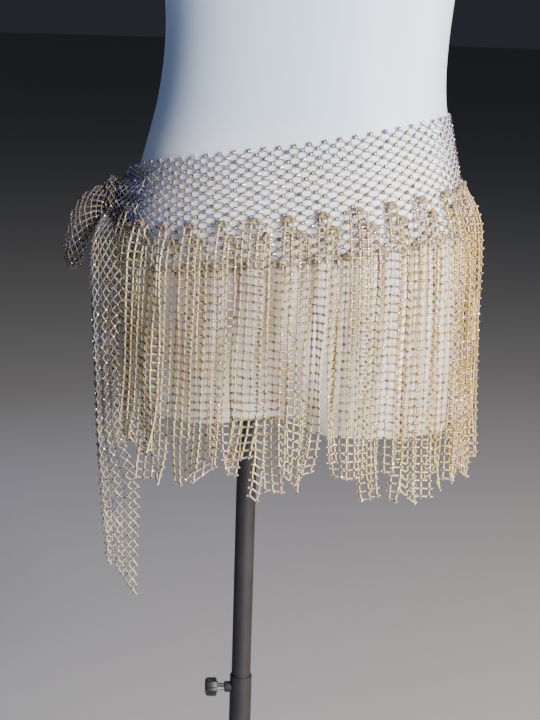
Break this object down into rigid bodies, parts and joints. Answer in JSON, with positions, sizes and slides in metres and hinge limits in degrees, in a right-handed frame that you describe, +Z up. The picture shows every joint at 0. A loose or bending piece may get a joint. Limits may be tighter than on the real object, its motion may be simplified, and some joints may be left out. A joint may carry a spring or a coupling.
{
  "type": "belly dance hip belt on a hip form with stand",
  "caption": "Wide stoned net hip belt tied at one hip, with three staggered rows of hanging net strips, worn on a smooth limbless hip form on a telescopic round-base stand.",
  "frame": {"origin": "centre of the base plate's underside, on the floor", "axes": "+Z up along the mast, -Y the wearer's front, +X the wearer's left"},
  "size_m": [0.3936, 0.32, 1.15],
  "materials": {
    "stand_metal": "satin",
    "clamp_plastic": "matte",
    "form_white": "matte",
    "band_net": "satin",
    "strip_net": "satin"
  },
  "bodies": {
    "stand": {"base_plate": "stand_metal", "mast_sleeve": "stand_metal", "clamp_boss": "stand_metal"},
    "display": {"mast": "stand_metal", "torso_form": "form_white", "hip_band": "band_net", "tie_knot": "band_net", "tie_end": "band_net", "tie_tail": "band_net", "fringe_upper": "strip_net", "fringe_middle": "strip_net", "fringe_lower": "strip_net"},
    "knob": {"clamp_knob": "clamp_plastic"}
  },
  "joints": [
    {"name": "height_slide", "type": "slide", "parent": "stand", "child": "display", "axis": [0, 0, 1], "range_m": [-0.1, 0.1]},
    {"name": "clamp_turn", "type": "hinge", "parent": "stand", "child": "knob", "pos_m": [0, 0, 0.3945], "axis": [-0.9397, -0.342, 0], "range_deg": [0, 270]}
  ]
}
